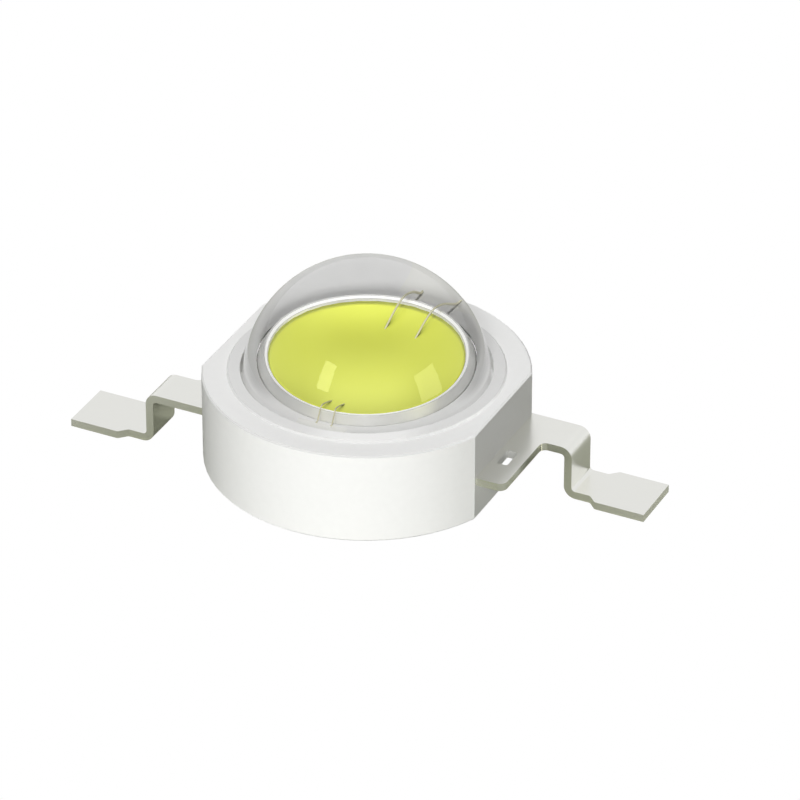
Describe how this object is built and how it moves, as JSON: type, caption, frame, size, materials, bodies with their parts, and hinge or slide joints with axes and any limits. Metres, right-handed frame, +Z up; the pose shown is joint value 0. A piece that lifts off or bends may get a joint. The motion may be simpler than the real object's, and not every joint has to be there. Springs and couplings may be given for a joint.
{
  "type": "high power led",
  "caption": "Light emitting diode: a clear dome over a phosphor filled cup, in a round white moulding with side flats, offset bent leads and a metal face below that carries the heat away.",
  "frame": {"origin": "on the seating plane under the slug and the feet, on the axis of the dome", "axes": "+Z up through the dome, +X along the leads towards the anode foot, +Y towards the anode lead's offset side"},
  "size_m": [0.0144, 0.008, 0.0053],
  "materials": {
    "white_moulding": "fine satin moulding",
    "clear_silicone": "clear, polished",
    "lead_plating": "bright silver plate on copper alloy strip",
    "slug_plating": "silver plate on turned copper",
    "die_adhesive": "silver filled adhesive",
    "chip": "polished",
    "phosphor": "glossy silicone filled with yellow phosphor",
    "bond_wire": "drawn gold wire"
  },
  "bodies": {
    "root": {"housing": "white_moulding", "lens": "clear_silicone", "anode_lead": "lead_plating", "cathode_lead": "lead_plating", "heat_slug": "slug_plating", "die_attach": "die_adhesive", "led_chip": "chip", "phosphor_fill": "phosphor", "anode_wire_inner": "bond_wire", "anode_wire_outer": "bond_wire", "cathode_wire_inner": "bond_wire", "cathode_wire_outer": "bond_wire"}
  },
  "joints": []
}
